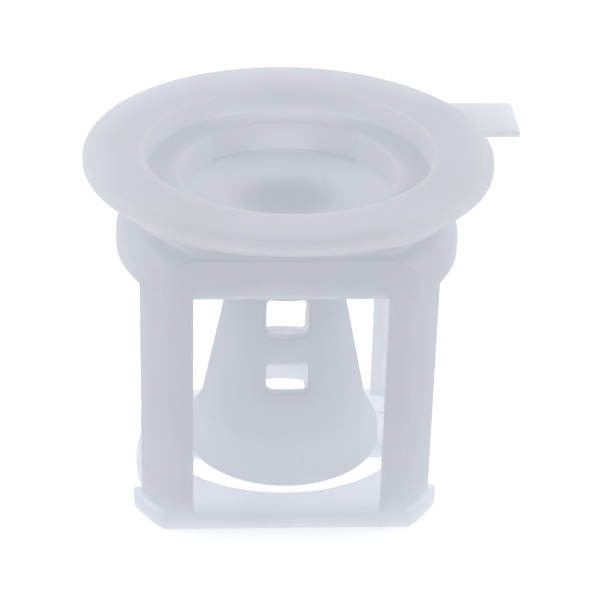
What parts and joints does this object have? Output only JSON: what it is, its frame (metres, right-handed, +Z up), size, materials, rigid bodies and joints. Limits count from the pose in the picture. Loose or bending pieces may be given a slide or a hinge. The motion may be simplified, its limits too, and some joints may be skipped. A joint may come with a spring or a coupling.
{
  "type": "washing machine filter",
  "caption": "One-piece drain pump filter: a flanged cup on a four-post cage with a slotted bell hanging over a cut-out base plate.",
  "frame": {"origin": "on the part's axis, in the flat underside of the base plate", "axes": "+Z up along the axis of flange, cup and bell; the pictured front faces -Y; the tab points to +X"},
  "size_m": [0.0868, 0.08, 0.074],
  "materials": {
    "polypropylene": "satin, milky and slightly translucent"
  },
  "bodies": {
    "root": {"filter_body": "polypropylene"}
  },
  "joints": []
}
